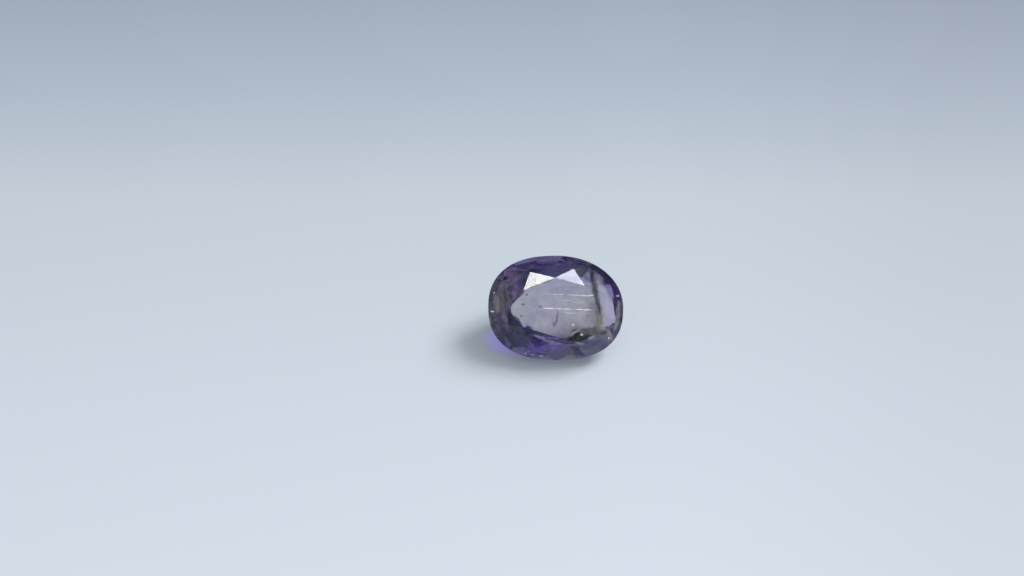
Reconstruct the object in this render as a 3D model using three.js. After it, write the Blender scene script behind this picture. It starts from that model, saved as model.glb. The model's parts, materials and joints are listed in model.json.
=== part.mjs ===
// An oval gemstone cut from a crystal of iolite, a clear violet-blue silicate. It is one solid piece:
// a brilliant crown round an oval table, a thin girdle, and a bulging pavilion that comes down to a short
// keel. The stone lies as a loose one does, on the shallow part of a main facet on one of its long sides,
// with its table turned up and towards the front.
//
// Millimetres and degrees. The facets are worked out in the stone's own frame, where X is the length of
// the oval, Y its width, and Z points out of the table, with Z = 0 half way up the girdle. The exported
// group then turns that frame so that the facet the stone lies on is level with the ground.

import * as THREE from "three";

// The oval
const LENGTH = 9.0;
const WIDTH = 7.0;
// How full each quarter of the oval is, from the one at +X +Y round to the one at +X -Y. 2 is an ellipse.
const FULLNESS = [2.05, 2.42, 2.34, 2.48];
const GIRDLE_THICKNESS = 0.34;

// The crown
const CROWN_HEIGHT = 0.98; // from the top of the girdle to the table
const STAR_REACH = 0.35; // how far down the seams between main facets the tips of the stars stand
// The corners of the table, cut a little askew of the oval, and the way that the main facet below each
// one faces
const TABLE_CORNERS = [
  { at: [2.6, 0.2], faces: 2 },
  { at: [1.97, 1.6], faces: 56.5 },
  { at: [0, 2.15], faces: 94 },
  { at: [-2.1, 1.35], faces: 129 },
  { at: [-3.1, 0.06], faces: 184 },
  { at: [-2.31, -1.09], faces: 234 },
  { at: [0.46, -1.94], faces: 274 },
  { at: [2.3, -1.35], faces: 316 },
];

// The pavilion. Each main facet is steep below the girdle, then turns shallower down to the keel.
const PAVILION_DEPTH = 3.05; // from the foot of the girdle to the keel
const BULGE_DEPTH = 1.62; // from the foot of the girdle to where each main facet turns shallower
const LOWER_HALF_REACH = 0.75; // how far down to there the lower halves stop
const KEEL_LEFT = [-1.15, -0.35];
const KEEL_LENGTH = 1.2;
const KEEL_TURN = -2; // the keel's lie against the length of the oval
// The way that each main facet faces, how far out from the middle it turns shallower, and the ends of
// the keel that its shallow part comes down to
const PAVILION_MAINS = [
  { faces: 8, bulge: 3.42, ends: ["right"] },
  { faces: 50, bulge: 3.0, ends: ["right"] },
  { faces: 90 + KEEL_TURN, bulge: 2.25, ends: ["left", "right"] },
  { faces: 128, bulge: 2.5, ends: ["left"] },
  { faces: 182, bulge: 3.0, ends: ["left"] },
  { faces: 226, bulge: 2.65, ends: ["left"] },
  { faces: 270 + KEEL_TURN, bulge: 2.1, ends: ["right", "left"] },
  { faces: 300, bulge: 2.62, ends: ["right"] },
];

// Where the points of the main facets stand on the girdle, as angles of the oval's own curve
const MAIN_ANGLES = [0, 45, 90, 135, 180, 225, 270, 315];
const MAINS = MAIN_ANGLES.length;
const WALL_STEPS = 6; // flats on the girdle between a main facet's point and the next half point

const GIRDLE_TOP = GIRDLE_THICKNESS / 2;
const GIRDLE_FOOT = -GIRDLE_THICKNESS / 2;
const TABLE_LEVEL = GIRDLE_TOP + CROWN_HEIGHT;
const BULGE_LEVEL = GIRDLE_FOOT - BULGE_DEPTH;
const KEEL_LEVEL = GIRDLE_FOOT - PAVILION_DEPTH;
const RESTING_MAIN = 6; // the main facet on the long side at the front

const radians = THREE.MathUtils.degToRad;
const next = (i) => (i + 1) % MAINS;

// The point of the oval at an angle of its curve, at a height. Each quarter is a superellipse.
function onOval(degrees, z) {
  const turn = ((degrees % 360) + 360) % 360;
  const power = 2 / FULLNESS[Math.min(Math.floor(turn / 90), 3)];
  const c = Math.cos(radians(turn));
  const s = Math.sin(radians(turn));
  return new THREE.Vector3(
    (LENGTH / 2) * Math.sign(c) * Math.abs(c) ** power,
    (WIDTH / 2) * Math.sign(s) * Math.abs(s) ** power,
    z,
  );
}

// The plane through two points whose level lines run square to the way it faces
function planeFacing(degrees, high, low) {
  const level = new THREE.Vector3(-Math.sin(radians(degrees)), Math.cos(radians(degrees)), 0);
  const normal = new THREE.Vector3().subVectors(high, low).cross(level);
  const outwards = new THREE.Vector3(Math.cos(radians(degrees)), Math.sin(radians(degrees)), 0);
  if (normal.dot(outwards) < 0) normal.negate();
  return new THREE.Plane().setFromNormalAndCoplanarPoint(normal.normalize(), high);
}

// The plane through three points, facing away from the middle of the stone
function planeThrough(a, b, c) {
  const plane = new THREE.Plane().setFromCoplanarPoints(a, b, c);
  return plane.distanceToPoint(new THREE.Vector3()) > 0 ? plane.negate() : plane;
}

// The one point that three planes share
function meet(p, q, r) {
  const rows = new THREE.Matrix3().set(...p.normal, ...q.normal, ...r.normal);
  return new THREE.Vector3(-p.constant, -q.constant, -r.constant).applyMatrix3(rows.invert());
}

// The points where the seams between neighbouring main facets cross a level
function seamPoints(mains, z) {
  const level = new THREE.Plane(new THREE.Vector3(0, 0, 1), -z);
  return mains.map((main, i) => meet(main, mains[next(i)], level));
}

// The point straight above or below a point where a plane passes
function onPlane(plane, point) {
  const z = -(plane.constant + plane.normal.x * point.x + plane.normal.y * point.y) / plane.normal.z;
  return new THREE.Vector3(point.x, point.y, z);
}

// The points where a facet runs along the girdle's wall, from one angle of the oval to another
function alongGirdle(plane, from, to, ends) {
  const points = [ends[0]];
  for (let step = 1; step < WALL_STEPS; step++) {
    const degrees = from + ((to - from) * step) / WALL_STEPS;
    points.push(onPlane(plane, onOval(degrees, 0)));
  }
  return [...points, ends[1]];
}

// The two half facets between main facets i and i + 1, on the crown or the pavilion. Both start at the
// point where the two mains' seam ends, and fan out to the girdle. Returns their edges on the girdle.
function halfFacets(i, seamEnd, girdlePoints, z) {
  const from = MAIN_ANGLES[i];
  const to = from + 360 / MAINS;
  const middle = (from + to) / 2;
  const half = onOval(middle, z);
  const first = planeThrough(seamEnd, girdlePoints[i], half);
  const second = planeThrough(seamEnd, half, girdlePoints[next(i)]);
  return [
    alongGirdle(first, from, middle, [girdlePoints[i], half]),
    alongGirdle(second, middle, to, [half, girdlePoints[next(i)]]),
  ];
}

// The crown's facets, each as its corners in order, and its edge on the girdle
function crown() {
  const table = TABLE_CORNERS.map(({ at }) => new THREE.Vector3(...at, TABLE_LEVEL));
  const tips = MAIN_ANGLES.map((degrees) => onOval(degrees, GIRDLE_TOP));
  const mains = TABLE_CORNERS.map(({ faces }, i) => planeFacing(faces, table[i], tips[i]));
  const starTips = seamPoints(mains, TABLE_LEVEL - CROWN_HEIGHT * STAR_REACH);

  const facets = [table];
  const edge = [];
  for (let i = 0; i < MAINS; i++) {
    const before = (i + MAINS - 1) % MAINS;
    facets.push([table[i], starTips[i], table[next(i)]]);
    facets.push([table[i], starTips[before], tips[i], starTips[i]]);
    for (const run of halfFacets(i, starTips[i], tips, GIRDLE_TOP)) {
      facets.push([starTips[i], ...run]);
      edge.push(...run.slice(0, -1));
    }
  }
  return { facets, edge };
}

// The pavilion's facets, its edge on the girdle, and the plane that the stone lies on
function pavilion() {
  const left = new THREE.Vector3(...KEEL_LEFT, KEEL_LEVEL);
  const along = new THREE.Vector3(Math.cos(radians(KEEL_TURN)), Math.sin(radians(KEEL_TURN)), 0);
  const keel = { left, right: left.clone().addScaledVector(along, KEEL_LENGTH) };
  const tips = MAIN_ANGLES.map((degrees) => onOval(degrees, GIRDLE_FOOT));
  const turns = PAVILION_MAINS.map(({ faces, bulge }) => {
    const outwards = new THREE.Vector3(Math.cos(radians(faces)), Math.sin(radians(faces)), 0);
    return outwards.multiplyScalar(bulge).setZ(BULGE_LEVEL);
  });
  const steep = PAVILION_MAINS.map(({ faces }, i) => planeFacing(faces, tips[i], turns[i]));
  const shallow = PAVILION_MAINS.map(({ faces, ends }, i) => planeFacing(faces, turns[i], keel[ends[0]]));
  const corners = seamPoints(steep, BULGE_LEVEL);
  const seamEnds = seamPoints(steep, GIRDLE_FOOT - BULGE_DEPTH * LOWER_HALF_REACH);

  const facets = [];
  const edge = [];
  for (let i = 0; i < MAINS; i++) {
    const before = (i + MAINS - 1) % MAINS;
    const onKeel = PAVILION_MAINS[i].ends.map((end) => keel[end]);
    facets.push([...onKeel, corners[before], corners[i]].reverse());
    facets.push([corners[before], seamEnds[before], tips[i], seamEnds[i], corners[i]].reverse());
    for (const run of halfFacets(i, seamEnds[i], tips, GIRDLE_FOOT)) {
      facets.push([seamEnds[i], ...run].reverse());
      edge.push(...run.slice(0, -1));
    }
  }
  return { facets, edge, rest: shallow[RESTING_MAIN] };
}

// The flats of the girdle's wall, between the crown's edge and the pavilion's
function girdle(top, foot) {
  return top.map((corner, i) => {
    const after = (i + 1) % top.length;
    return [corner, foot[i], foot[after], top[after]];
  });
}

// A closed body from flat convex facets, each listed anticlockwise as seen from outside
function bodyOf(facets) {
  const positions = [];
  for (const corners of facets) {
    for (let i = 1; i + 1 < corners.length; i++) {
      positions.push(...corners[0], ...corners[i], ...corners[i + 1]);
    }
  }
  const geometry = new THREE.BufferGeometry();
  geometry.setAttribute("position", new THREE.Float32BufferAttribute(positions, 3));
  geometry.computeVertexNormals();
  return geometry;
}

function cutStone() {
  const top = crown();
  const bottom = pavilion();
  const facets = [...top.facets, ...bottom.facets, ...girdle(top.edge, bottom.edge)];
  const clearViolet = new THREE.MeshStandardMaterial({
    color: 0x5a4d86,
    roughness: 0.03,
    metalness: 0,
    transparent: true,
    opacity: 0.6,
  });
  const stone = new THREE.Mesh(bodyOf(facets), clearViolet);
  stone.name = "cut_stone";
  return { stone, rest: bottom.rest };
}

const { stone, rest } = cutStone();

// Turned so that the resting facet faces straight down, then moved so that the origin is under the
// middle of the stone, on the ground
const part = new THREE.Group();
part.add(stone);
stone.quaternion.setFromUnitVectors(rest.normal, new THREE.Vector3(0, 0, -1));
stone.updateMatrixWorld(true);
const reach = new THREE.Box3().setFromObject(stone, true);
const middle = reach.getCenter(new THREE.Vector3());
stone.position.set(-middle.x, -middle.y, -reach.min.z);

export default part;
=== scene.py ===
# A cut iolite: the glass-clear body of the stone, and the threads, fissure, veils and grains inside it. The
# threads, the fissure and many veils and grains grew there; other veils, zones and grains are painted shade,
# painted light and painted glints, and the threads and stains glow with painted light. Metres, in the frame
# of the imported model. Places inside the stone are given in millimetres in the stone's own frame: along the
# oval, across it, and down from its table. The table is the stone's large facet on top, and what the stone
# lies on is the tabletop.

import json
import math

import bmesh
import bpy
import numpy as np
from bpy.props import FloatProperty, FloatVectorProperty, IntProperty, PointerProperty
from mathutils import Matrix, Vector, noise


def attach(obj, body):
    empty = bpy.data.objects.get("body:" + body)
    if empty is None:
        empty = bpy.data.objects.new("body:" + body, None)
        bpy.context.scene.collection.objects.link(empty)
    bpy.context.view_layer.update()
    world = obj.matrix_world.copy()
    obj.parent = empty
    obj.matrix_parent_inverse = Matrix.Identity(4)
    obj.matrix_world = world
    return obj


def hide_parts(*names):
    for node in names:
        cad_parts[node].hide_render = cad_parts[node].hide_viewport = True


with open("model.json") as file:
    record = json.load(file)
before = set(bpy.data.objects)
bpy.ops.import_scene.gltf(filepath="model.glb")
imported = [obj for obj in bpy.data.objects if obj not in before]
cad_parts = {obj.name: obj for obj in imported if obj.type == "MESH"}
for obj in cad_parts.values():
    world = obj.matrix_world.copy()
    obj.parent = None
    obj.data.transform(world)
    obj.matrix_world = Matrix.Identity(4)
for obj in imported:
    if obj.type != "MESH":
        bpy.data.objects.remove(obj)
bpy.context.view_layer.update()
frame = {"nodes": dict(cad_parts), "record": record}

bl_info = {
    "name": "Cut Iolite",
    "version": (1, 0, 0),
    "blender": (4, 5, 0),
    "location": "3D View > Sidebar > Iolite",
    "description": "Builds a faceted oval iolite with its inclusions, on a pale tabletop",
    "category": "Add Mesh",
}

MM = 0.001
NODE = "cut_stone"
BODY = "root"

# Where the middle of the table lies in the stone's own frame, against the middle of the oval
TABLE_MIDDLE = (-0.033, 0.084)

# Zones of colour and of painted shade that run through the stone from its table down: where each one's middle
# is, how far it reaches each way, and the tint that the surface has there. Some give the stone its colour by
# place, and darker ones paint the shade of facets that show dark. A later zone lies over the earlier ones.
COLOUR_AND_SHADE_ZONES = (
    ((0.9, 1.50), (2.2, 0.80), (0.85, 0.82, 0.78)),
    ((2.35, 0.1), (0.60, 1.9), (0.82, 0.79, 0.68)),
    ((3.5, 0.2), (0.75, 2.1), (1.0, 0.93, 0.97)),
    ((-3.1, 1.9), (1.4, 1.5), (1.0, 0.90, 1.0)),
    ((-3.9, 0.3), (1.0, 2.2), (0.95, 0.92, 0.64)),
    ((-2.6, -1.9), (1.7, 1.0), (0.60, 0.51, 0.92)),
    ((-1.9, -2.9), (1.6, 0.85), (0.42, 0.32, 0.90)),
    ((-0.2, -2.5), (1.6, 0.75), (0.72, 0.61, 1.0)),
    ((2.3, -2.8), (1.9, 0.9), (0.36, 0.40, 0.46)),
    ((3.9, 1.5), (0.65, 1.3), (0.32, 0.25, 0.54)),
    ((3.0, 2.65), (1.3, 0.85), (0.40, 0.38, 0.46)),
    ((-0.3, 3.2), (3.1, 1.05), (0.52, 0.46, 0.72)),
    ((2.1, 2.95), (1.6, 0.7), (1.0, 1.0, 0.50)),
    ((-1.1, 3.45), (2.8, 0.50), (0.14, 0.10, 0.24)),
    ((-3.25, -2.20), (0.80, 0.80), (0.25, 0.24, 0.28)),
    ((2.30, 2.15), (0.55, 0.50), (0.34, 0.30, 0.38)),
    ((2.75, 2.62), (0.80, 0.42), (0.16, 0.13, 0.20)),
    ((3.42, 1.95), (0.50, 0.60), (0.15, 0.12, 0.20)),
    ((-2.30, 3.05), (0.80, 0.45), (0.20, 0.14, 0.30)),
    ((-3.56, -1.80), (0.48, 0.90), (0.15, 0.14, 0.17)),
    ((1.40, 2.98), (0.45, 0.45), (0.34, 0.31, 0.33)),
    ((-0.80, 3.20), (1.30, 0.40), (0.12, 0.085, 0.20)),
    ((-0.85, 2.08), (0.75, 0.32), (0.20, 0.19, 0.23)),
)
# How unevenly a zone ends, and where its tint starts to fade and is gone, as shares of its reach
ZONE_WANDER = 0.7
ZONE_EDGE = (0.6, 1.05)

# Threads laid one by one: the middle of each, along, across and down, how long it is and how thick
THREADS = (
    ((-0.24, 0.99, 0.8), 1.05, 0.020),
    ((0.38, 0.97, 0.8), 0.34, 0.050),
    ((0.95, 0.94, 0.8), 0.60, 0.020),
    ((1.30, 0.91, 0.8), 0.50, 0.036),
    ((1.83, 0.88, 0.8), 0.80, 0.042),
    ((2.30, 0.86, 0.8), 0.42, 0.060),
    ((-0.45, 0.05, 0.7), 0.84, 0.054),
    ((0.22, 0.02, 0.7), 0.62, 0.044),
    ((0.68, 0.00, 0.7), 0.52, 0.050),
    ((1.10, -0.02, 0.7), 0.56, 0.020),
    ((1.60, -0.03, 0.7), 0.56, 0.052),
    ((2.13, -0.07, 0.7), 0.74, 0.056),
    ((1.13, -0.30, 0.9), 1.10, 0.026),
    ((2.04, -0.34, 0.9), 0.60, 0.020),
    ((0.60, 0.55, 0.9), 1.20, 0.010),
    ((1.60, 0.40, 0.9), 0.90, 0.011),
)


# The stone's own frame

def mount(name):
    for one in frame["record"]["mounts"]:
        if one["name"] == name:
            return one
    raise RuntimeError(f"the record has no mount named {name}")


def stone_frame():
    """The turn and the place that carry the stone's own frame, in metres, to the part's frame."""
    table = mount("table")
    turn = Vector((0, 0, 1)).rotation_difference(Vector(table["axis"])).to_matrix()
    middle = Vector((TABLE_MIDDLE[0] * MM, TABLE_MIDDLE[1] * MM, 0))
    return turn, Vector(table["pos_m"]) - turn @ middle


TURN, PLACE = stone_frame()


def inside(along, across, down):
    """The point of the part's frame that is at a place of the stone's own frame, given in millimetres."""
    return PLACE + TURN @ (Vector((along, across, -down)) * MM)


# Node trees

class Wire:
    """One output of a node. Python's operators on it add Math nodes."""

    def __init__(self, graph, socket):
        self.graph = graph
        self.socket = socket

    def maths(self, operation, *values):
        return self.graph.node("ShaderNodeMath", {"operation": operation}, dict(enumerate(values)))

    def __add__(self, other):
        return self.maths("ADD", self, other)

    def __radd__(self, other):
        return self.maths("ADD", other, self)

    def __sub__(self, other):
        return self.maths("SUBTRACT", self, other)

    def __rsub__(self, other):
        return self.maths("SUBTRACT", other, self)

    def __mul__(self, other):
        return self.maths("MULTIPLY", self, other)

    def __rmul__(self, other):
        return self.maths("MULTIPLY", other, self)

    def __truediv__(self, other):
        return self.maths("DIVIDE", self, other)

    def __rtruediv__(self, other):
        return self.maths("DIVIDE", other, self)


class Graph:
    """A node tree that is written as expressions."""

    def __init__(self, tree):
        self.tree = tree

    def node(self, kind, settings=None, inputs=None, output=0):
        """Adds a node: its settings first, then the values or links of its sockets, by name or number."""
        made = self.tree.nodes.new(kind)
        for name, value in (settings or {}).items():
            if name == "stops":
                self.set_stops(made.color_ramp, value)
            else:
                setattr(made, name, value)
        for key, value in (inputs or {}).items():
            if isinstance(value, Wire):
                self.tree.links.new(value.socket, made.inputs[key])
            else:
                made.inputs[key].default_value = value
        return Wire(self, made.outputs[output]) if made.outputs else made

    def vector(self, operation, first, second):
        return self.node("ShaderNodeVectorMath", {"operation": operation}, {0: first, 1: second})

    def scaled(self, value, by):
        return self.node("ShaderNodeVectorMath", {"operation": "SCALE"}, {0: value, "Scale": by})

    def length(self, value):
        return self.node("ShaderNodeVectorMath", {"operation": "LENGTH"}, {0: value}, "Value")

    @staticmethod
    def set_stops(ramp, stops):
        while len(ramp.elements) < len(stops):
            ramp.elements.new(0.5)
        for element, (position, colour) in zip(ramp.elements, stops):
            element.position = position
            element.color = (*colour, 1)


class Finish(Graph):
    """A material and its node tree."""

    # A Mix node's sockets for colours. It has others of the same names, for numbers and vectors.
    MIX_FACTOR, MIX_FIRST, MIX_SECOND, MIX_RESULT = 0, 6, 7, 2

    def __init__(self, name):
        self.material = bpy.data.materials.new(name)
        self.material.use_nodes = True
        super().__init__(self.material.node_tree)
        self.tree.nodes.clear()

    def smooth(self, value, low, high):
        """0 below low, 1 above high, and a smooth rise between."""
        settings = {"interpolation_type": "SMOOTHSTEP"}
        values = {"Value": value, "From Min": low, "From Max": high}
        return self.node("ShaderNodeMapRange", settings, values)

    def mix(self, factor, first, second):
        """A colour between two colours."""
        values = {self.MIX_FACTOR: factor, self.MIX_FIRST: first, self.MIX_SECOND: second}
        return self.node("ShaderNodeMix", {"data_type": "RGBA"}, values, self.MIX_RESULT)

    def noise(self, place, scale, detail=2.0):
        values = {"Vector": place, "Scale": scale, "Detail": detail}
        return self.node("ShaderNodeTexNoise", None, values)

    def in_stone(self):
        """The place in the stone's own frame, in millimetres."""
        back = TURN.transposed()
        where = self.node("ShaderNodeTexCoord", output="Object")
        return self.node("ShaderNodeMapping", {"vector_type": "POINT"}, {
            "Vector": where,
            "Location": -(back @ PLACE) / MM,
            "Rotation": back.to_euler(),
            "Scale": (1 / MM,) * 3,
        })

    def zone(self, place, middle, reach, wander):
        """1 in the middle of a zone, falling off unevenly to 0 at its reach."""
        away = self.vector("DIVIDE", self.vector("SUBTRACT", place, middle), reach)
        return 1 - self.smooth(self.length(away) + (wander - 0.5) * ZONE_WANDER, *ZONE_EDGE)

    def surface(self, **values):
        """The Principled shader as the surface, with its sockets by name."""
        named = {name.replace("_", " "): value for name, value in values.items()}
        shader = self.node("ShaderNodeBsdfPrincipled", None, named)
        self.output = self.node("ShaderNodeOutputMaterial", None, {"Surface": shader})
        return shader


class Growth(Graph):
    """A geometry node tree with named inputs, and the object that it grows on."""

    # A Random Value node's sockets for the lowest and the highest value, and its output, for each kind
    RANDOM_SOCKETS = {"FLOAT": (2, 3, 1), "FLOAT_VECTOR": (0, 1, 0)}

    def __init__(self, name):
        super().__init__(bpy.data.node_groups.new(name, "GeometryNodeTree"))
        self.sockets = {}
        self.tree.interface.new_socket("Geometry", in_out="OUTPUT", socket_type="NodeSocketGeometry")
        self.add_input("Seeds", "Geometry")
        self.group = self.tree.nodes.new("NodeGroupInput")

    def add_input(self, name, kind):
        made = self.tree.interface.new_socket(name, in_out="INPUT", socket_type="NodeSocket" + kind)
        self.sockets[name] = made.identifier

    def add_inputs(self, **kinds):
        for name, kind in kinds.items():
            self.add_input(name.replace("_", " "), kind)

    def given(self, name):
        return Wire(self, self.group.outputs[name])

    def attribute(self, name, kind="FLOAT"):
        return self.node("GeometryNodeInputNamedAttribute", {"data_type": kind}, {"Name": name})

    def scatter(self, low, high, seed, kind="FLOAT"):
        """A random number or vector for each point."""
        lowest, highest, output = self.RANDOM_SOCKETS[kind]
        values = {lowest: low, highest: high, "Seed": seed}
        return self.node("FunctionNodeRandomValue", {"data_type": kind}, values, output)

    def finish(self, geometry, smooth=True):
        """Real geometry in the given material, turned from the stone's own frame to the part's."""
        real = self.node("GeometryNodeRealizeInstances", None, {"Geometry": geometry})
        shaded = self.node("GeometryNodeSetShadeSmooth", None, {"Geometry": real, "Shade Smooth": smooth})
        placed = self.node("GeometryNodeTransform", None, {
            "Geometry": shaded, "Translation": self.given("Place"), "Rotation": self.given("Turn"),
            "Scale": (MM,) * 3,
        })
        painted = self.node(
            "GeometryNodeSetMaterial", None, {"Geometry": placed, "Material": self.given("Material")}
        )
        self.node("NodeGroupOutput", None, {0: painted})

    def grow(self, name, seeds, **values):
        """The plain mesh that the tree makes from its seeds."""
        grown = bpy.data.objects.new(name, seeds)
        bpy.context.scene.collection.objects.link(grown)
        modifier = grown.modifiers.new("growth", "NODES")
        modifier.node_group = self.tree
        for key, value in values.items():
            modifier[self.sockets[key.replace("_", " ")]] = value
        settled = bpy.data.meshes.new_from_object(
            grown.evaluated_get(bpy.context.evaluated_depsgraph_get())
        )
        grown.modifiers.clear()
        grown.data = settled
        if not settled.polygons:
            raise RuntimeError(f"{name}: nothing grew")
        return grown


# Sizes and colours that a user would change

class StoneLook(bpy.types.PropertyGroup):
    tint: FloatVectorProperty(
        name="Tint", description="Colour that the light takes each time it crosses the surface",
        subtype="COLOR", size=3, min=0, max=1, default=(1.0, 0.97, 0.80),
    )
    depth_colour: FloatVectorProperty(
        name="Depth colour", description="Colour that the light keeps on long paths through the stone",
        subtype="COLOR", size=3, min=0, max=1, default=(0.375, 0.315, 0.71),
    )
    cloud: FloatProperty(
        name="Cloud", description="What its cloudy parts leave of the tint", default=0.84, min=0, max=1,
    )
    density: FloatProperty(
        name="Density", description="How strongly the depth colour grows with the path, per metre",
        default=175.0, min=0,
    )
    refraction: FloatProperty(
        name="Refraction", description="Refractive index of the stone", default=1.545, min=1, max=3,
    )


class InclusionLook(bpy.types.PropertyGroup):
    fine_threads: IntProperty(
        name="Fine threads", description="How many fine threads are scattered beside the laid ones",
        default=150, min=0,
    )
    silk: FloatVectorProperty(
        name="Silk", description="Colour of the threads", subtype="COLOR", size=3, min=0, max=1,
        default=(0.90, 0.90, 0.95),
    )


class StageLook(bpy.types.PropertyGroup):
    lens: FloatProperty(name="Lens", description="Focal length, in millimetres", default=100.0)
    elevation: FloatProperty(
        name="Elevation", description="How high the camera stands above the horizon",
        default=math.radians(56.5), subtype="ANGLE",
    )
    distance: FloatProperty(
        name="Distance", description="From the camera to the stone", default=190 * MM, subtype="DISTANCE",
    )
    sky: FloatProperty(name="Room light", description="Strength of the light all round", default=0.26)


# Meshes

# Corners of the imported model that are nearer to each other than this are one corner, and triangles that
# meet at less than this angle are one facet
SAME_CORNER = 0.002 * MM
SAME_FACET = math.radians(0.05)
# The planes of the stone's facets once it is made: their normals and their distances from the origin
FACETS = {}
# How far under the facets the veils and the fine threads are kept, and the grains, and how many times over
VEIL_MARGIN = 0.04 * MM
GRAIN_MARGIN = 0.03 * MM
TUCK_PASSES = 12
# Veils: how thick they are, in millimetres, and how fast the noise that shapes them changes along each
# one, across it, and from one to the next
VEIL_THICKNESS = 0.05
EDGE_WOBBLE = (0.31, 3.1, 7.7)
FINE_WOBBLE = (0.9, 5.3, 3.3)
SAG = (0.3, 0.8, 1.9)


def add_piece(name, mesh, material):
    """A new object of the stone."""
    mesh.materials.clear()
    mesh.materials.append(material)
    piece = bpy.data.objects.new(name, mesh)
    bpy.context.scene.collection.objects.link(piece)
    return declare(piece)


def declare(piece):
    """Says that a piece rides with the stone."""
    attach(piece, BODY)
    return piece


def join_facets(mesh):
    """Makes one flat face of each facet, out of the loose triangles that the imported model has."""
    shape = bmesh.new()
    shape.from_mesh(mesh)
    bmesh.ops.remove_doubles(shape, verts=shape.verts, dist=SAME_CORNER)
    bmesh.ops.dissolve_limit(
        shape, angle_limit=SAME_FACET, verts=shape.verts, edges=shape.edges, delimit=set()
    )
    bmesh.ops.recalc_face_normals(shape, faces=shape.faces)
    shape.to_mesh(mesh)
    shape.free()


def tuck_in(mesh, margin):
    """Moves what comes too near a facet of the stone back under it."""
    normals, levels = FACETS["planes"]
    places = np.empty(len(mesh.vertices) * 3)
    mesh.vertices.foreach_get("co", places)
    places = places.reshape(-1, 3)
    for _ in range(TUCK_PASSES):
        over = places @ normals.T - levels + margin
        worst = over.argmax(axis=1)
        push = np.maximum(over.max(axis=1), 0)
        places -= normals[worst] * push[:, None]
    mesh.vertices.foreach_set("co", places.ravel())
    mesh.update()


def smooth_path(stops, steps):
    """The stops of a path with evenly spaced places between them, on a Catmull-Rom curve through them."""
    points = [Vector(stop) for stop in stops]
    points = [2 * points[0] - points[1], *points, 2 * points[-1] - points[-2]]
    path = []
    for a, b, c, d in zip(points, points[1:], points[2:], points[3:]):
        for step in range(steps):
            t = step / steps
            path.append(0.5 * (2 * b + (c - a) * t + (2 * a - 5 * b + 4 * c - d) * t ** 2
                               + (3 * b - a - 3 * c + d) * t ** 3))
    path.append(points[-2])
    return path


def drift(rates, along, across, seed):
    """Noise that changes smoothly along a veil and across it, and is another in each veil."""
    return noise.noise(Vector((along * rates[0], across * rates[1], seed * rates[2])))


def veil_mesh(name, stops, ragged, seed, steps=10, around=20):
    """A closed thin lens that follows a path under the table. Each stop is along, across, down and half
    the width there, in millimetres. Its "rim" attribute rises from 0 in the middle to 1 at the edge."""
    path = smooth_path(stops, steps)
    last = len(path) - 1
    shape = bmesh.new()
    rim = shape.verts.layers.float.new("rim")
    ends = []
    for i in (0, last):
        end = shape.verts.new(inside(*path[i][:3]))
        end[rim] = 1.0
        ends.append(end)
    rings = []
    for i in range(1, last):
        ahead = (path[i + 1] - path[i - 1]).xyz.normalized()
        side = Vector((-ahead.y, ahead.x, 0)).normalized()
        from_end = min(i, last - i) / steps
        taper = min(1.0, from_end) ** 0.5
        ring = []
        for k in range(around):
            turn = 2 * math.pi * k / around
            edge = math.copysign(1, math.cos(turn))
            wobble = drift(EDGE_WOBBLE, i, edge, seed) + 0.4 * drift(FINE_WOBBLE, i, edge, seed)
            half = path[i].w * taper * (1 + ragged * wobble)
            sag = VEIL_THICKNESS * drift(SAG, i, math.cos(turn), seed)
            place = path[i].xyz + side * half * math.cos(turn)
            place.z += sag + 0.5 * VEIL_THICKNESS * math.sin(turn)
            vertex = shape.verts.new(inside(*place))
            vertex[rim] = max(abs(math.cos(turn)), 1 - min(1.0, from_end))
            ring.append(vertex)
        rings.append(ring)
    for near, far in zip(rings, rings[1:]):
        for k in range(around):
            after = (k + 1) % around
            shape.faces.new((near[k], near[after], far[after], far[k]))
    for ring, end in ((rings[0], ends[0]), (rings[-1], ends[1])):
        for k in range(around):
            shape.faces.new((ring[k], ring[(k + 1) % around], end))
    bmesh.ops.recalc_face_normals(shape, faces=shape.faces)
    mesh = bpy.data.meshes.new(name)
    shape.to_mesh(mesh)
    shape.free()
    for face in mesh.polygons:
        face.use_smooth = True
    tuck_in(mesh, VEIL_MARGIN)
    return mesh


# Finishes

# How deep the zones of colour and painted shade reach, in millimetres: right through the stone
ZONE_DEPTH = 50
# How brightly the stains and veils glow with painted light, for the light that scatters in them
STAIN_PAINTED_GLOW = 0.14


def polished_stone(look):
    """Clear stone, tinted where light crosses its surface, and more the further light goes through it."""
    finish = Finish("polished_iolite")
    place = finish.in_stone()
    wander = finish.noise(place, scale=0.9, detail=3.0)
    tint = (*look.tint, 1)
    # The zones lay the stone's colour and painted shade over the tint
    for (along, across), (reach_along, reach_across), colour in COLOUR_AND_SHADE_ZONES:
        held = finish.zone(place, (along, across, 0), (reach_along, reach_across, ZONE_DEPTH), wander)
        tint = finish.mix(held, tint, (*colour, 1))
    clouds = finish.smooth(finish.noise(place, scale=1.7, detail=4.0), 0.32, 0.68)
    tint = finish.mix(clouds, finish.scaled(tint, look.cloud), tint)
    finish.surface(Base_Color=tint, Roughness=0.0, IOR=look.refraction, Transmission_Weight=1.0)
    absorb = finish.node(
        "ShaderNodeVolumeAbsorption", None, {"Color": (*look.depth_colour, 1), "Density": look.density}
    )
    finish.tree.links.new(absorb.socket, finish.output.inputs["Volume"])
    return finish.material


def silk(name, colour, painted_glow):
    """Pale threads and grains, a little brighter and duller by turns, that glow with painted light."""
    finish = Finish(name)
    place = finish.in_stone()
    patches = finish.smooth(finish.noise(place, scale=4.0), 0.35, 0.65)
    duller = [0.7 * part for part in colour]
    shade = finish.mix(patches, (*duller, 1), (*colour, 1))
    # Painted light: the threads and the glint grains glow by the given strength
    finish.surface(
        Base_Color=shade, Roughness=0.35, IOR=1.3, Emission_Color=shade, Emission_Strength=painted_glow
    )
    return finish.material


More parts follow.
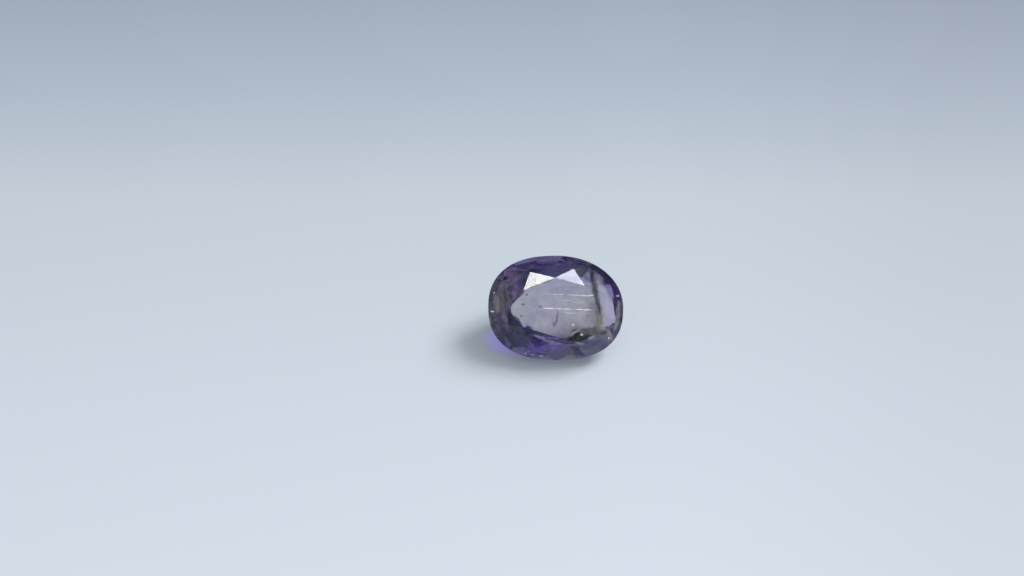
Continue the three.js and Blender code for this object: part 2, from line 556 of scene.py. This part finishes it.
def stain_and_painted_light(name, dark, light, cover, grain, soft):
    """A see-through veil in two colours, in streaks that fade towards its rim, that glows with painted light.
    It serves the real stains and also the veils that are painted shade and painted light. grain is how fine
    the streaks are each way, and soft is how much of its width the fading takes."""
    finish = Finish(name)
    place = finish.in_stone()
    streaks = finish.noise(finish.vector("MULTIPLY", place, grain), scale=1.0)
    shade = finish.mix(finish.smooth(streaks, 0.33, 0.67), (*dark, 1), (*light, 1))
    rim = finish.node("ShaderNodeAttribute", {"attribute_name": "rim"}, output="Fac")
    fade = 1 - finish.smooth(rim + (streaks - 0.5) * 0.5 * soft, 1.0 - soft, 1.0)
    thick = 0.6 + 0.4 * finish.smooth(finish.noise(place, scale=2.3), 0.35, 0.65)
    finish.surface(
        Base_Color=shade, Roughness=0.6, IOR=1.3, Alpha=fade * thick * cover, Emission_Color=shade,
        Emission_Strength=STAIN_PAINTED_GLOW,
    )
    return finish.material


class IOLITE_OT_stone(bpy.types.Operator):
    """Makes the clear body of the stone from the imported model's facets"""

    bl_idname = "iolite.stone"
    bl_label = "Stone"

    def execute(self, context):
        mesh = frame["nodes"][NODE].data.copy()
        join_facets(mesh)
        normals = np.array([face.normal for face in mesh.polygons])
        levels = np.array([face.normal.dot(face.center) for face in mesh.polygons])
        FACETS["planes"] = normals, levels
        stone = add_piece("stone_body", mesh, polished_stone(context.scene.iolite_stone))
        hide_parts(NODE)
        return {"FINISHED"}


def thread_growth():
    """Threads: long thin spindles, laid along the stone on each seed, and scattered in a box."""
    growth = Growth("threads")
    growth.add_inputs(
        Count="Int", Low_corner="Vector", High_corner="Vector", Shortest="Float", Longest="Float",
        Girth="Float", Slant="Float", Seed="Int", Turn="Vector", Place="Vector", Material="Material",
    )
    seed = growth.given("Seed")
    laid = growth.node("GeometryNodeMeshToPoints", None, {"Mesh": growth.given("Seeds")})
    spots = growth.scatter(growth.given("Low corner"), growth.given("High corner"), seed, "FLOAT_VECTOR")
    strewn = growth.node("GeometryNodePoints", None, {"Count": growth.given("Count"), "Position": spots})
    lengths = growth.scatter(growth.given("Shortest"), growth.given("Longest"), seed + 1)
    girths = growth.scatter(growth.given("Girth") * 0.6, growth.given("Girth") * 1.3, seed + 2)
    for name, values in (("reach", lengths), ("girth", girths)):
        strewn = growth.node(
            "GeometryNodeStoreNamedAttribute", None, {"Geometry": strewn, "Name": name, "Value": values}
        )
    points = growth.node("GeometryNodeJoinGeometry")
    for some in (strewn, laid):
        growth.tree.links.new(some.socket, points.socket.node.inputs[0])
    spindle = growth.node("GeometryNodeMeshUVSphere", None, {"Segments": 6, "Rings": 6, "Radius": 0.5})
    girth = growth.attribute("girth")
    size = growth.node("ShaderNodeCombineXYZ", None, {0: growth.attribute("reach"), 1: girth, 2: girth})
    slant = growth.given("Slant")
    yaw = growth.scatter(slant * 0.4, slant * 1.6, seed + 3)
    turned = growth.node("ShaderNodeCombineXYZ", None, {2: yaw})
    threads = growth.node("GeometryNodeInstanceOnPoints", None, {
        "Points": points, "Instance": spindle, "Rotation": turned, "Scale": size,
    })
    growth.finish(threads)
    return growth


def seed_mesh(name, places, **attributes):
    """Loose points in the stone's own frame, in millimetres, with a number for each."""
    mesh = bpy.data.meshes.new(name)
    mesh.from_pydata([(along, across, -down) for along, across, down in places], [], [])
    for key, values in attributes.items():
        mesh.attributes.new(key, "FLOAT", "POINT").data.foreach_set("value", values)
    return mesh


class IOLITE_OT_threads(bpy.types.Operator):
    """Grows the pale threads that lie along the stone under its table"""

    bl_idname = "iolite.threads"
    bl_label = "Threads"

    def execute(self, context):
        look = context.scene.iolite_inclusions
        growth = thread_growth()
        placing = {"Turn": TURN.to_euler(), "Place": PLACE}
        seeds = seed_mesh(
            "thread_seeds", [place for place, _, _ in THREADS],
            reach=[length for _, length, _ in THREADS], girth=[girth for _, _, girth in THREADS],
        )
        laid = growth.grow(
            "laid_threads", seeds, Count=0, Slant=math.radians(-2.3), Seed=4,
            Material=silk("thread_silk", look.silk, painted_glow=1.2), **placing,
        )
        declare(laid)
        fine = growth.grow(
            "fine_threads", seed_mesh("no_seeds", []), Count=look.fine_threads,
            Low_corner=(-0.2, -1.1, -1.5), High_corner=(2.4, 1.5, -0.6), Shortest=0.3, Longest=1.3,
            Girth=0.013, Slant=math.radians(-2.0), Seed=11,
            Material=silk("fine_silk", look.silk, painted_glow=0.26), **placing,
        )
        tuck_in(fine.data, VEIL_MARGIN)
        declare(fine)
        return {"FINISHED"}


# Veils, the fissure and the flake among them. Some are real inclusions and colour, and others are painted
# shade and painted light that stand in for how the facets show dark and bright, such as the shades, the edge
# shadow, the pale lip and the flake's highlight. For each: the name, its two colours, how much it covers, how
# fine its streaks are each way, how soft and how ragged its edges are, and its stops. The place of each one
# in this list seeds its shape.
UPRIGHT = (6.0, 1.0, 3.0)
EVEN = (2.0, 2.0, 2.0)
VEILS_AND_PAINTED_LIGHT = (
    ("dark_fissure", (0.13, 0.13, 0.20), (0.31, 0.31, 0.43), 1.0, UPRIGHT, 0.95, 0.14, (
        (2.38, 2.52, 1.15, 0.09), (2.37, 2.28, 1.05, 0.16), (2.41, 1.94, 0.90, 0.22),
        (2.53, 1.42, 0.70, 0.30), (2.63, 1.02, 0.58, 0.31), (2.72, 0.62, 0.50, 0.25),
        (2.79, 0.22, 0.48, 0.19), (2.85, -0.16, 0.48, 0.12), (2.88, -0.50, 0.48, 0.04),
    )),
    ("olive_fissure", (0.38, 0.37, 0.30), (0.66, 0.65, 0.57), 0.72, UPRIGHT, 0.90, 0.2, (
        (2.76, 0.60, 0.55, 0.12), (2.82, 0.15, 0.52, 0.28), (2.86, -0.30, 0.52, 0.34),
        (2.88, -0.80, 0.55, 0.36), (2.84, -1.26, 0.62, 0.34), (2.80, -1.70, 0.75, 0.16),
    )),
    ("olive_haze", (0.34, 0.33, 0.34), (0.60, 0.58, 0.60), 0.28, EVEN, 0.95, 0.3, (
        (2.40, 0.65, 0.62, 0.20), (2.50, 0.20, 0.62, 0.50), (2.56, -0.40, 0.62, 0.58),
        (2.58, -0.95, 0.65, 0.50), (2.55, -1.40, 0.70, 0.20),
    )),
    ("corner_shade", (0.12, 0.12, 0.155), (0.27, 0.27, 0.32), 0.95, EVEN, 0.95, 0.3, (
        (1.50, -1.42, 0.70, 0.14), (2.05, -1.50, 0.70, 0.38), (2.65, -1.54, 0.70, 0.50),
        (3.15, -1.66, 0.80, 0.40), (3.45, -1.85, 0.95, 0.14),
    )),
    ("pale_streaks", (0.45, 0.45, 0.50), (0.90, 0.90, 0.95), 0.60, (9.0, 1.0, 3.0), 0.9, 0.4, (
        (3.30, -1.10, 0.75, 0.10), (3.45, -1.45, 0.85, 0.26), (3.60, -1.90, 0.95, 0.26),
        (3.72, -2.25, 1.08, 0.12),
    )),
    ("left_haze", (0.42, 0.39, 0.44), (0.68, 0.64, 0.70), 0.18, UPRIGHT, 0.95, 0.2, (
        (-3.30, 2.00, 1.00, 0.30), (-3.45, 1.20, 0.95, 0.75), (-3.50, 0.40, 0.95, 0.85),
        (-3.50, -0.40, 0.95, 0.75), (-3.35, -1.20, 1.00, 0.40),
    )),
    ("mauve_veil", (0.62, 0.52, 0.62), (0.92, 0.80, 0.94), 0.42, UPRIGHT, 0.95, 0.2, (
        (-3.95, 1.20, 0.90, 0.16), (-3.88, 0.60, 0.85, 0.34), (-3.80, 0.06, 0.85, 0.36),
        (-3.72, -0.40, 0.85, 0.20),
    )),
    ("brown_veil", (0.12, 0.11, 0.11), (0.28, 0.26, 0.26), 0.70, UPRIGHT, 0.95, 0.3, (
        (-3.45, 1.60, 0.90, 0.14), (-3.34, 1.10, 0.80, 0.22), (-3.28, 0.60, 0.80, 0.24),
        (-3.26, 0.10, 0.80, 0.14),
    )),
    ("grey_veil", (0.46, 0.48, 0.60), (0.74, 0.78, 0.94), 0.18, UPRIGHT, 0.95, 0.3, (
        (-3.38, 0.00, 0.80, 0.12), (-3.26, -0.61, 0.80, 0.30), (-3.18, -1.15, 0.90, 0.28),
        (-3.10, -1.75, 1.00, 0.10),
    )),
    ("plum_veil", (0.38, 0.27, 0.46), (0.68, 0.50, 0.84), 0.46, UPRIGHT, 0.95, 0.2, (
        (-3.50, 2.40, 1.00, 0.22), (-2.95, 2.15, 0.95, 0.60), (-2.62, 1.50, 0.75, 0.66),
        (-2.68, 0.85, 0.62, 0.36), (-2.80, 0.40, 0.60, 0.12),
    )),
    ("violet_shoulder", (0.34, 0.24, 0.58), (0.60, 0.46, 0.98), 0.42, EVEN, 0.95, 0.2, (
        (-3.60, 1.95, 1.08, 0.22), (-3.20, 2.40, 1.05, 0.34), (-2.60, 2.75, 1.02, 0.36),
        (-1.90, 2.95, 1.00, 0.20),
    )),
    ("blue_veil", (0.24, 0.19, 0.48), (0.40, 0.34, 0.74), 0.60, EVEN, 0.8, 0.2, (
        (-2.60, 2.45, 1.00, 0.20), (-1.40, 2.78, 0.90, 0.38), (0.00, 2.85, 0.85, 0.40),
        (1.30, 2.75, 0.90, 0.34), (2.20, 2.45, 1.00, 0.14),
    )),
    ("violet_veil", (0.28, 0.18, 0.64), (0.47, 0.35, 1.0), 0.65, EVEN, 0.9, 0.2, (
        (-2.10, -2.60, 1.00, 0.18), (-1.35, -2.62, 0.90, 0.34), (-0.60, -2.50, 0.85, 0.38),
        (0.20, -2.44, 0.85, 0.34), (0.95, -2.48, 0.90, 0.14),
    )),
    ("violet_rim", (0.28, 0.21, 0.72), (0.46, 0.38, 1.0), 0.50, EVEN, 0.9, 0.2, (
        (-2.85, -2.45, 1.20, 0.06), (-2.40, -2.78, 1.20, 0.14), (-1.75, -3.02, 1.18, 0.16),
        (-1.05, -3.14, 1.16, 0.14), (-0.50, -3.18, 1.16, 0.05),
    )),
    ("slate_veil", (0.24, 0.27, 0.36), (0.42, 0.46, 0.60), 0.58, EVEN, 0.9, 0.2, (
        (1.30, -2.55, 0.80, 0.16), (2.10, -2.45, 0.85, 0.32), (2.90, -2.05, 0.95, 0.28),
        (3.40, -1.60, 1.00, 0.12),
    )),
    ("rim_violet", (0.14, 0.07, 0.32), (0.26, 0.15, 0.54), 0.95, UPRIGHT, 0.7, 0.2, (
        (3.10, 2.20, 1.05, 0.10), (3.60, 1.70, 1.00, 0.20), (3.92, 1.05, 1.00, 0.20),
        (4.00, 0.40, 1.00, 0.12),
    )),
    ("rim_grey", (0.44, 0.46, 0.50), (0.84, 0.86, 0.92), 0.80, UPRIGHT, 0.9, 0.2, (
        (4.12, 0.70, 1.05, 0.08), (4.16, 0.10, 1.00, 0.20), (4.10, -0.60, 1.00, 0.26),
        (3.96, -1.20, 1.02, 0.22), (3.74, -1.70, 1.05, 0.10),
    )),
    ("left_rim", (0.15, 0.16, 0.16), (0.30, 0.31, 0.31), 0.60, UPRIGHT, 0.9, 0.2, (
        (-3.55, 2.20, 1.08, 0.06), (-3.92, 1.70, 1.05, 0.16), (-4.14, 1.00, 1.02, 0.20),
        (-4.20, 0.35, 1.00, 0.16), (-4.22, -0.05, 1.02, 0.06),
    )),
    ("top_shade", (0.09, 0.09, 0.11), (0.19, 0.19, 0.23), 0.55, EVEN, 0.9, 0.2, (
        (1.65, 2.95, 1.08, 0.08), (2.25, 2.88, 1.08, 0.22), (2.80, 2.60, 1.06, 0.26),
        (3.25, 2.22, 1.06, 0.20), (3.60, 1.85, 1.08, 0.06),
    )),
    ("navy_wedge", (0.03, 0.03, 0.07), (0.10, 0.10, 0.18), 0.90, EVEN, 0.5, 0.3, (
        (-3.10, -0.10, 0.80, 0.06), (-2.95, -0.54, 0.80, 0.22), (-2.76, -0.94, 0.80, 0.32),
        (-2.50, -1.35, 0.90, 0.26), (-2.20, -1.60, 1.00, 0.12),
    )),
    ("navy_rim", (0.03, 0.035, 0.08), (0.08, 0.08, 0.15), 0.85, UPRIGHT, 0.6, 0.2, (
        (-4.22, -0.22, 1.05, 0.10), (-4.15, -0.75, 1.05, 0.19), (-3.99, -1.29, 1.05, 0.18),
        (-3.66, -2.00, 1.10, 0.10),
    )),
    ("violet_pool", (0.06, 0.02, 0.20), (0.16, 0.09, 0.40), 0.85, EVEN, 0.7, 0.3, (
        (-1.60, -1.70, 0.85, 0.12), (-1.30, -2.05, 0.90, 0.32), (-1.04, -2.40, 1.00, 0.28),
        (-0.90, -2.70, 1.05, 0.10),
    )),
    ("black_flake", (0.03, 0.033, 0.045), (0.12, 0.13, 0.17), 1.6, EVEN, 0.25, 0.2, (
        (0.55, -2.05, 0.70, 0.06), (1.05, -1.90, 0.70, 0.20), (1.50, -1.86, 0.70, 0.32),
        (1.95, -1.80, 0.70, 0.24), (2.45, -1.64, 0.70, 0.06),
    )),
    # Painted highlight: a bright line along the flake's edge
    ("flake_edge", (0.85, 0.85, 0.92), (0.95, 0.95, 1.0), 0.95, EVEN, 0.3, 0.1, (
        (0.84, -1.84, 0.55, 0.03), (1.16, -1.66, 0.55, 0.045), (1.52, -1.45, 0.55, 0.03),
    )),
    ("flake_shade", (0.06, 0.06, 0.09), (0.15, 0.15, 0.20), 0.85, EVEN, 0.4, 0.2, (
        (0.93, -1.55, 0.60, 0.03), (1.20, -1.41, 0.60, 0.07), (1.48, -1.28, 0.60, 0.04),
    )),
    ("violet_streak", (0.42, 0.28, 0.60), (0.58, 0.44, 0.80), 0.80, EVEN, 0.9, 0.3, (
        (0.14, 0.02, 1.20, 0.04), (0.10, -0.43, 1.20, 0.09), (0.06, -0.84, 1.20, 0.09),
        (0.02, -1.24, 1.20, 0.05),
    )),
    ("violet_smudge", (0.30, 0.25, 0.50), (0.55, 0.50, 0.75), 0.50, UPRIGHT, 0.9, 0.3, (
        (-0.17, -0.70, 1.30, 0.06), (-0.11, -1.04, 1.30, 0.17), (-0.04, -1.35, 1.30, 0.10),
    )),
    ("edge_shadow", (0.06, 0.06, 0.11), (0.16, 0.16, 0.26), 0.85, EVEN, 0.5, 0.35, (
        (-2.75, -0.35, 0.90, 0.08), (-2.60, -0.72, 0.90, 0.22), (-2.38, -1.12, 0.95, 0.18),
        (-2.12, -1.38, 0.95, 0.12), (-1.84, -1.28, 0.95, 0.20), (-1.56, -1.52, 0.95, 0.10),
        (-1.05, -1.72, 0.95, 0.05),
    )),
    ("low_shade", (0.08, 0.065, 0.20), (0.16, 0.13, 0.40), 0.40, EVEN, 0.95, 0.2, (
        (-3.20, -1.70, 0.98, 0.15), (-2.60, -2.00, 0.95, 0.42), (-1.95, -2.12, 0.95, 0.46),
        (-1.40, -2.15, 1.00, 0.30), (-1.00, -2.20, 1.05, 0.10),
    )),
    ("plum_corner", (0.17, 0.12, 0.25), (0.32, 0.24, 0.44), 0.85, EVEN, 0.7, 0.3, (
        (-3.00, 0.40, 0.70, 0.04), (-2.80, 0.57, 0.65, 0.11), (-2.50, 0.86, 0.60, 0.16),
        (-2.20, 1.14, 0.60, 0.15), (-2.00, 1.32, 0.62, 0.05),
    )),
    # Painted light: a pale lip that widens the bright window along its lower edge
    ("pale_lip", (0.62, 0.57, 0.62), (0.92, 0.86, 0.94), 0.72, EVEN, 0.85, 0.5, (
        (-1.62, -1.60, 0.80, 0.06), (-1.20, -1.76, 0.80, 0.16), (-0.78, -1.98, 0.80, 0.12),
        (-0.36, -2.12, 0.80, 0.18), (0.15, -2.20, 0.80, 0.14), (0.55, -2.22, 0.80, 0.05),
    )),
)


class IOLITE_OT_veils_and_painted_light(bpy.types.Operator):
    """Makes the fissure, the stains and the veils inside the stone, with the veils of painted shade and
    painted light among them
    """

    bl_idname = "iolite.veils"
    bl_label = "Fissure, veils and painted light"

    def execute(self, context):
        for seed, (name, dark, light, cover, grain, soft, ragged, stops) in enumerate(VEILS_AND_PAINTED_LIGHT, 1):
            mesh = veil_mesh(name, stops, ragged, seed)
            add_piece(name, mesh, stain_and_painted_light(name, dark, light, cover, grain, soft))
        return {"FINISHED"}


# Grains, dark ones and glowing ones that are painted glints: where each one is, and how large it is each way,
# in millimetres
PAINTED_GLINTS = (
    ((1.70, -1.66, 0.50), (0.17, 0.13, 0.08)),
    ((1.16, -1.08, 0.90), (0.16, 0.14, 0.08)),
    ((4.12, 0.80, 0.95), (0.26, 0.13, 0.09)),
    ((-4.16, -0.20, 1.02), (0.30, 0.09, 0.08)),
    ((-2.02, -3.00, 1.00), (0.16, 0.06, 0.05)),
    ((-1.56, -3.07, 1.00), (0.22, 0.08, 0.05)),
    ((-0.98, -3.14, 1.00), (0.26, 0.05, 0.05)),
    ((3.52, -2.00, 0.90), (0.10, 0.16, 0.06)),
    ((0.39, 0.97, 0.75), (0.12, 0.07, 0.06)),
)
DARK_GRAINS = (
    ((-2.15, 0.31, 0.90), (0.30, 0.10, 0.06)),
    ((-1.91, 0.97, 0.90), (0.14, 0.09, 0.06)),
    ((-1.02, 0.14, 1.00), (0.26, 0.16, 0.08)),
    ((-2.31, -0.50, 1.20), (0.16, 0.09, 0.06)),
    ((3.30, -1.55, 0.85), (0.16, 0.22, 0.08)),
    ((0.56, -1.45, 1.30), (0.12, 0.07, 0.05)),
)


def grain_growth():
    """Grains: lumps of uneven shape, one on each seed."""
    growth = Growth("grains")
    growth.add_inputs(Rough="Float", Turn="Vector", Place="Vector", Material="Material")
    lump = growth.node("GeometryNodeMeshIcoSphere", None, {"Radius": 0.5, "Subdivisions": 2})
    size = growth.attribute("size", "FLOAT_VECTOR")
    lumps = growth.node("GeometryNodeInstanceOnPoints", None, {
        "Points": growth.given("Seeds"), "Instance": lump, "Scale": size,
    })
    real = growth.node("GeometryNodeRealizeInstances", None, {"Geometry": lumps})
    bumps = growth.node("ShaderNodeTexNoise", None, {"Scale": 16.0, "Detail": 1.0}, output="Color")
    push = growth.scaled(growth.vector("SUBTRACT", bumps, (0.5, 0.5, 0.5)), growth.given("Rough"))
    broken = growth.node("GeometryNodeSetPosition", None, {"Geometry": real, "Offset": push})
    growth.finish(broken, smooth=False)
    return growth


class IOLITE_OT_grains(bpy.types.Operator):
    """Grows the dark grains inside the stone, and the glowing grains that are painted glints"""

    bl_idname = "iolite.grains"
    bl_label = "Grains"

    def execute(self, context):
        growth = grain_growth()
        kinds = (
            # Painted glints: grains that glow with painted light
            ("bright_grains", PAINTED_GLINTS, silk("bright_grain", (0.95, 0.95, 1.0), painted_glow=0.55)),
            ("dark_grains", DARK_GRAINS, stain_and_painted_light(
                "dark_grain", (0.20, 0.19, 0.22), (0.40, 0.39, 0.44), cover=0.6, grain=EVEN, soft=0.2
            )),
        )
        for name, grains, material in kinds:
            seeds = seed_mesh(name + "_seeds", [place for place, _ in grains])
            sizes = seeds.attributes.new("size", "FLOAT_VECTOR", "POINT")
            sizes.data.foreach_set("vector", [value for _, size in grains for value in size])
            grown = growth.grow(
                name, seeds, Rough=0.14, Turn=TURN.to_euler(), Place=PLACE, Material=material
            )
            tuck_in(grown.data, GRAIN_MARGIN)
            declare(grown)
        return {"FINISHED"}


# The stage

# Square lamps that shine on the stone: the name of each, which way it stands from the stone and how far
# off, the side of its face, how bright that face is all over, its colour, and whether mirrors and light that
# has passed through the stone show it. The white stars mirror the first two.
LAMPS = (
    ("left_lamp", (-0.284, -0.127, 0.95), 0.3, 0.018, 17.2, (1, 0.99, 0.97), True),
    ("right_lamp", (0.16, -0.07, 0.985), 0.3, 0.018, 12.6, (0.83, 0.88, 1.0), True),
    ("key_lamp", (0.64, 0.45, 0.76), 0.9, 0.34, 27.4, (1, 0.985, 0.965), False),
    ("broad_lamp", (0.35, 0.30, 0.90), 0.9, 1.0, 0.95, (1, 0.985, 0.965), False),
    ("left_panel", (-0.70, -0.35, 0.62), 0.9, 0.60, 0.16, (0.9, 0.95, 1.0), True),
)
ROOM_COLOUR = (0.85, 0.93, 1.0)
# The height over the ground of the point that the camera turns about, and where that point is in the
# picture, right of its middle and above it
AIM_HEIGHT = 2.6 * MM
OFF_MIDDLE = (2.916 * MM, -1.338 * MM)
# How many times light may turn on its way, because it turns many times in a cut stone
BOUNCES = {
    "max_bounces": 32, "transmission_bounces": 28, "glossy_bounces": 16, "diffuse_bounces": 6,
    "transparent_max_bounces": 32,
}

# The tabletop reaches this far each way, a hair under the ground
TABLETOP_HALF = 2.0
TABLETOP_LEVEL = -0.02 * MM
# How much of the tabletop's tone it takes from the lamps, and how much it gives of itself
TONE_LIT = 0.6
TONE_GIVEN = 0.20
# How much of its tone it loses to the right, as painted fall-off of the light, and from where to where
RIGHT_LOSS = 0.09
RIGHT_SPAN = (4.0, 34.0)
# The tabletop's tone, from its front to its back, which falls off towards the back as painted light
TABLETOP_TONE = (
    (-20.0, (0.70, 0.77, 0.865)), (-6.0, (0.65, 0.72, 0.815)), (3.0, (0.607, 0.676, 0.764)),
    (11.0, (0.57, 0.64, 0.72)), (20.0, (0.45, 0.51, 0.61)), (32.0, (0.33, 0.38, 0.47)),
)
# Painted light on the tabletop: a pool under the stone, for the light that the stone gathers there, and a
# violet patch beside it, for the light that it throws: the middle of each, how far it reaches each way, how
# many degrees it is turned, its colour, and how much of the lamps' light the tabletop still takes there
GATHERED = ((-1.0, 1.15), (4.0, 2.35), 0, (0.55, 0.605, 0.735), 0.1)
THROWN = ((-3.75, -1.05), (1.9, 1.15), -40, (0.17, 0.15, 0.39), 1.0)


def pale_tabletop():
    """A smooth pale surface, with painted light: darker towards the back and the right, and the stone's light
    on it.
    """
    finish = Finish("pale_table")
    front, back = TABLETOP_TONE[0][0], TABLETOP_TONE[-1][0]
    place = finish.scaled(finish.node("ShaderNodeTexCoord", output="Object"), 1 / MM)
    parts = finish.node("ShaderNodeSeparateXYZ", None, {0: place}).socket.node
    to_right, to_back = [Wire(finish, parts.outputs[name]) for name in "XY"]
    stops = [((y - front) / (back - front), colour) for y, colour in TABLETOP_TONE]
    depth = (to_back - front) / (back - front)
    tone = finish.node("ShaderNodeValToRGB", {"stops": stops}, {"Fac": depth})
    tone = finish.scaled(tone, 1 - RIGHT_LOSS * finish.smooth(to_right, *RIGHT_SPAN))
    ground = finish.scaled(tone, TONE_LIT)
    light = finish.scaled(tone, TONE_GIVEN)
    for middle, reach, degrees, colour, kept in (GATHERED, THROWN):
        away = finish.node("ShaderNodeMapping", {"vector_type": "TEXTURE"}, {
            "Vector": place, "Location": (*middle, 0), "Rotation": (0, 0, math.radians(degrees)),
            "Scale": (*reach, 1),
        })
        held = 1 - finish.smooth(finish.length(away), 0.2, 1.0)
        light = finish.mix(held, light, (*colour, 1))
        ground = finish.mix(held, ground, finish.scaled(ground, kept))
    finish.surface(Base_Color=ground, Roughness=0.5, Emission_Color=light, Emission_Strength=1.0)
    return finish.material


def lay_tabletop(scene):
    mesh = bpy.data.meshes.new("table_top")
    ways = ((-1, -1), (1, -1), (1, 1), (-1, 1))
    corners = [(x * TABLETOP_HALF, y * TABLETOP_HALF, TABLETOP_LEVEL) for x, y in ways]
    mesh.from_pydata(corners, [], [(0, 1, 2, 3)])
    mesh.materials.append(pale_tabletop())
    tabletop = bpy.data.objects.new("table_top", mesh)
    scene.collection.objects.link(tabletop)


def hang_lamp(scene, name, way, reach, side, radiance, colour, seen):
    """An even square lamp, whose power is pi times its radiance times the area of its face."""
    light = bpy.data.lights.new(name, "AREA")
    light.shape = "SQUARE"
    light.size = side
    light.color = colour
    light.energy = radiance * math.pi * side * side
    lamp = bpy.data.objects.new(name, light)
    lamp.location = Vector(way).normalized() * reach
    lamp.rotation_euler = (-lamp.location).to_track_quat("-Z", "Z").to_euler()
    lamp.visible_transmission = seen
    lamp.visible_glossy = seen
    scene.collection.objects.link(lamp)


def light_room(scene, strength):
    world = bpy.data.worlds.new("room")
    scene.world = world
    world.use_nodes = True
    background = world.node_tree.nodes["Background"]
    background.inputs["Color"].default_value = (*ROOM_COLOUR, 1)
    background.inputs["Strength"].default_value = strength


def aim_camera(scene, look):
    back = Vector((0, -math.cos(look.elevation), math.sin(look.elevation)))
    turn = back.to_track_quat("Z", "Y")
    data = bpy.data.cameras.new("camera")
    data.lens = look.lens
    data.clip_start = 0.001
    data.clip_end = 10
    camera = bpy.data.objects.new("camera", data)
    camera.rotation_euler = turn.to_euler()
    camera.location = Vector((0, 0, AIM_HEIGHT)) + back * look.distance - turn @ Vector((*OFF_MIDDLE, 0))
    scene.collection.objects.link(camera)
    scene.camera = camera


class IOLITE_OT_stage(bpy.types.Operator):
    """Makes the tabletop, the lights and the camera"""

    bl_idname = "iolite.stage"
    bl_label = "Stage"

    def execute(self, context):
        scene = context.scene
        look = scene.iolite_stage
        lay_tabletop(scene)
        for lamp in LAMPS:
            hang_lamp(scene, *lamp)
        light_room(scene, look.sky)
        aim_camera(scene, look)
        scene.view_settings.view_transform = "Standard"
        for name, count in BOUNCES.items():
            setattr(scene.cycles, name, count)
        return {"FINISHED"}


class IOLITE_PT_parts(bpy.types.Panel):
    """The pieces of the stone and its stage"""

    bl_idname = "IOLITE_PT_parts"
    bl_label = "Cut iolite"
    bl_space_type = "VIEW_3D"
    bl_region_type = "UI"
    bl_category = "Iolite"

    def draw(self, context):
        layout = self.layout
        for operator in OPERATORS:
            layout.operator(operator.bl_idname)


OPERATORS = (IOLITE_OT_stage, IOLITE_OT_stone, IOLITE_OT_threads, IOLITE_OT_veils_and_painted_light, IOLITE_OT_grains)
GROUPS = {
    "iolite_stone": StoneLook, "iolite_inclusions": InclusionLook, "iolite_stage": StageLook,
}


def register():
    for name, group in GROUPS.items():
        bpy.utils.register_class(group)
        setattr(bpy.types.Scene, name, PointerProperty(type=group))
    for operator in OPERATORS:
        bpy.utils.register_class(operator)
    bpy.utils.register_class(IOLITE_PT_parts)


def unregister():
    bpy.utils.unregister_class(IOLITE_PT_parts)
    for operator in reversed(OPERATORS):
        bpy.utils.unregister_class(operator)
    for name, group in GROUPS.items():
        delattr(bpy.types.Scene, name)
        bpy.utils.unregister_class(group)


def main():
    register()
    for operator in OPERATORS:
        group, name = operator.bl_idname.split(".")
        getattr(getattr(bpy.ops, group), name)()


if __name__ == "__main__":
    main()
